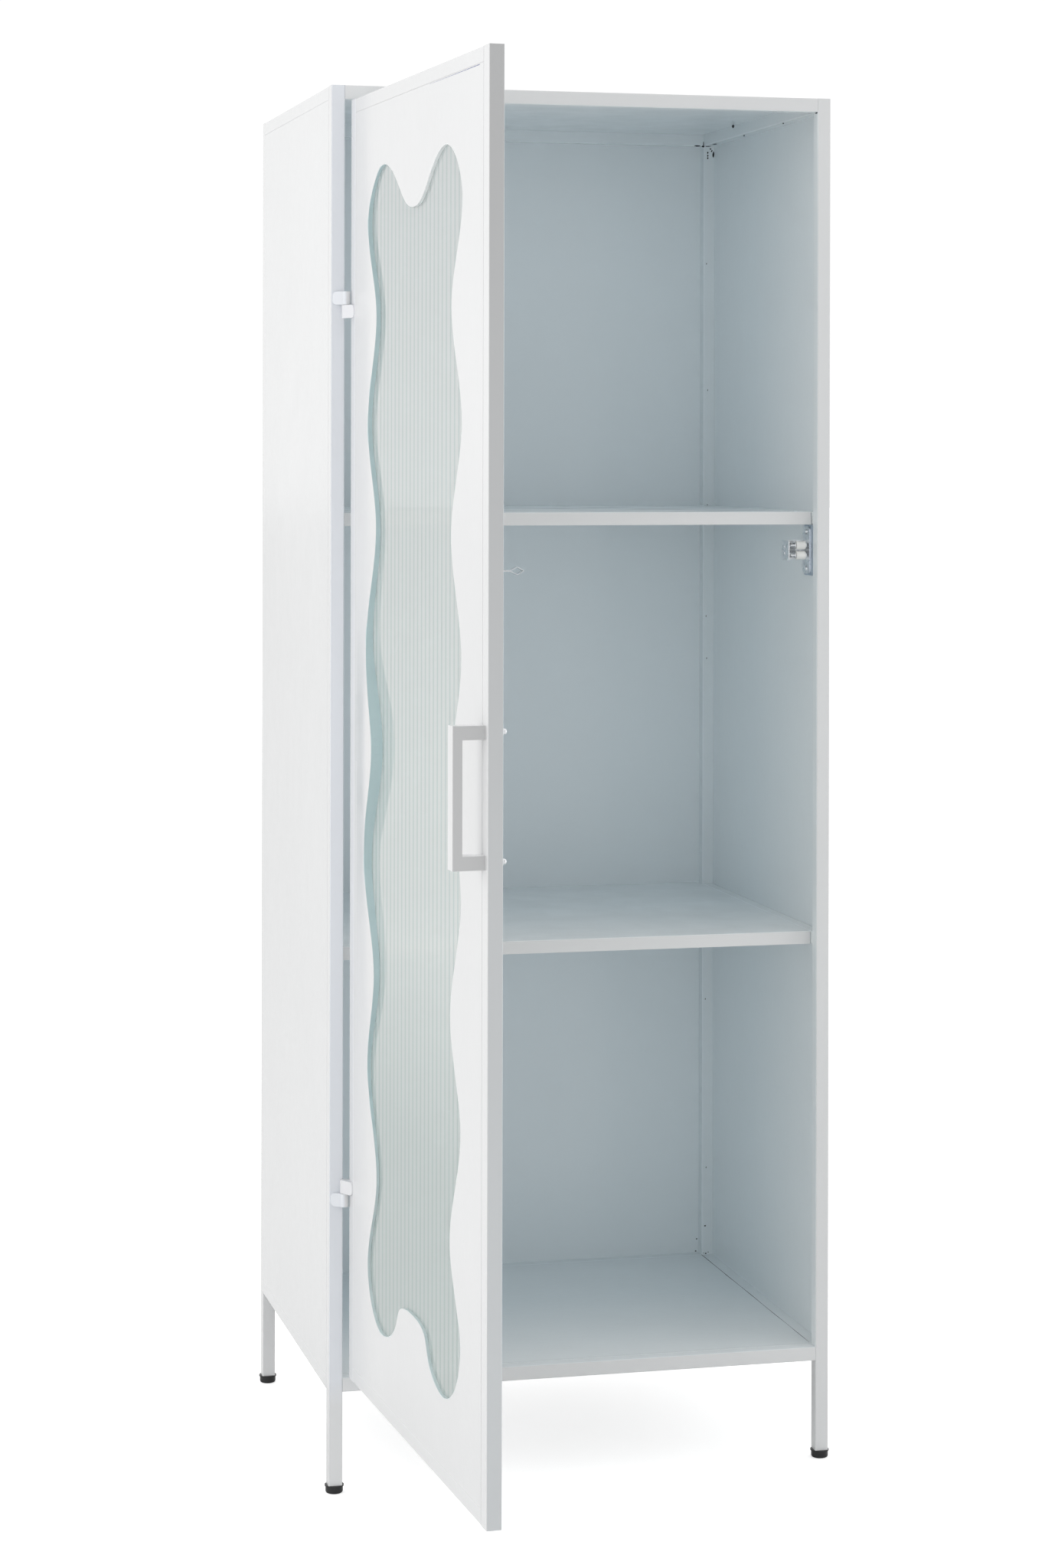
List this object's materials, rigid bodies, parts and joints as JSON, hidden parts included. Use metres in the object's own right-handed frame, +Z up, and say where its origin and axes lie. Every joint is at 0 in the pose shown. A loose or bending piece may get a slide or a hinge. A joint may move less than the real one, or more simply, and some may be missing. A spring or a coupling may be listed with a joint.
{
  "type": "locker cabinet",
  "caption": "Tall free-standing cabinet of welded square steel tube and flush sheet panels, with folded shelves and a swinging door with a wavy window of vertically reeded glass.",
  "frame": {"origin": "on the floor, in the middle of the footprint of the cabinet's four posts (the open door stands forward of it)", "axes": "+Z up; -Y is the front, the side that the door opens to; +X is to the right of a person who faces the front"},
  "size_m": [0.606, 1.0525, 1.608],
  "materials": {
    "body_enamel": "semi-gloss baked enamel",
    "door_enamel": "semi-gloss baked enamel",
    "zinc_plate": "bright zinc plate",
    "spring_steel": "drawn wire",
    "reeded_glass": "flat in front, vertical reeds behind",
    "seal_foam": "matt closed-cell foam",
    "roller_nylon": "satin nylon",
    "foot_plastic": "satin black plastic"
  },
  "bodies": {
    "cabinet": {"back_left_post": "body_enamel", "back_panel": "body_enamel", "back_right_post": "body_enamel", "bottom_back_rail": "body_enamel", "bottom_front_rail": "body_enamel", "bottom_left_rail": "body_enamel", "bottom_right_rail": "body_enamel", "catch_bracket": "zinc_plate", "catch_mounting_plate": "body_enamel", "catch_pivot_pins": "zinc_plate", "catch_screws": "zinc_plate", "catch_spring": "spring_steel", "feet": "foot_plastic", "floor_panel": "body_enamel", "frame_hinge_knuckles": "body_enamel", "front_left_post": "body_enamel", "front_right_post": "body_enamel", "hinge_pins": "body_enamel", "left_side_panel": "body_enamel", "lower_left_bearer": "body_enamel", "lower_right_bearer": "body_enamel", "lower_shelf": "body_enamel", "right_side_panel": "body_enamel", "top_back_rail": "body_enamel", "top_front_rail": "body_enamel", "top_left_rail": "body_enamel", "top_panel": "body_enamel", "top_right_rail": "body_enamel", "upper_left_bearer": "body_enamel", "upper_right_bearer": "body_enamel", "upper_shelf": "body_enamel"},
    "door": {"door_bottom_rail": "door_enamel", "door_free_stile": "door_enamel", "door_hinge_knuckles": "door_enamel", "door_hinge_stile": "door_enamel", "door_sheet": "door_enamel", "door_top_rail": "door_enamel", "handle": "door_enamel", "handle_studs": "zinc_plate", "handle_washers": "zinc_plate", "handle_cap_nuts": "zinc_plate", "catch_strike": "zinc_plate", "strike_screws": "zinc_plate", "reeded_glass": "reeded_glass", "glass_seal": "seal_foam", "glass_clips": "zinc_plate", "glass_clip_studs": "zinc_plate"},
    "upper_jaw": {"upper_catch_jaw": "zinc_plate", "upper_roller_pin": "zinc_plate"},
    "lower_jaw": {"lower_catch_jaw": "zinc_plate", "lower_roller_pin": "zinc_plate"},
    "upper_roller": {"upper_catch_roller": "roller_nylon"},
    "lower_roller": {"lower_catch_roller": "roller_nylon"}
  },
  "joints": [
    {"name": "door_hinge", "type": "hinge", "parent": "cabinet", "child": "door", "pos_m": [-0.2833, -0.2453, 0.8506], "axis": [0, 0, -1], "range_deg": [-87, 93]},
    {"name": "upper_jaw_pivot", "type": "hinge", "parent": "cabinet", "child": "upper_jaw", "pos_m": [0.271, -0.2007, 1.0773], "axis": [-1, 0, 0], "range_deg": [0, 13], "stiffness_Nm_per_rad": 0.4, "springref_deg": -28.65, "deforming": ["catch_spring"]},
    {"name": "lower_jaw_pivot", "type": "hinge", "parent": "cabinet", "child": "lower_jaw", "pos_m": [0.271, -0.2007, 1.0693], "axis": [1, 0, 0], "range_deg": [0, 13], "stiffness_Nm_per_rad": 0.4, "springref_deg": -28.65},
    {"name": "upper_roller_spin", "type": "hinge", "parent": "upper_jaw", "child": "upper_roller", "pos_m": [0.271, -0.2165, 1.07925], "axis": [1, 0, 0], "continuous": true},
    {"name": "lower_roller_spin", "type": "hinge", "parent": "lower_jaw", "child": "lower_roller", "pos_m": [0.271, -0.2165, 1.06735], "axis": [1, 0, 0], "continuous": true}
  ],
  "couplings": [
    {"joint": "lower_jaw_pivot", "follows": "upper_jaw_pivot", "ratio": 1}
  ]
}
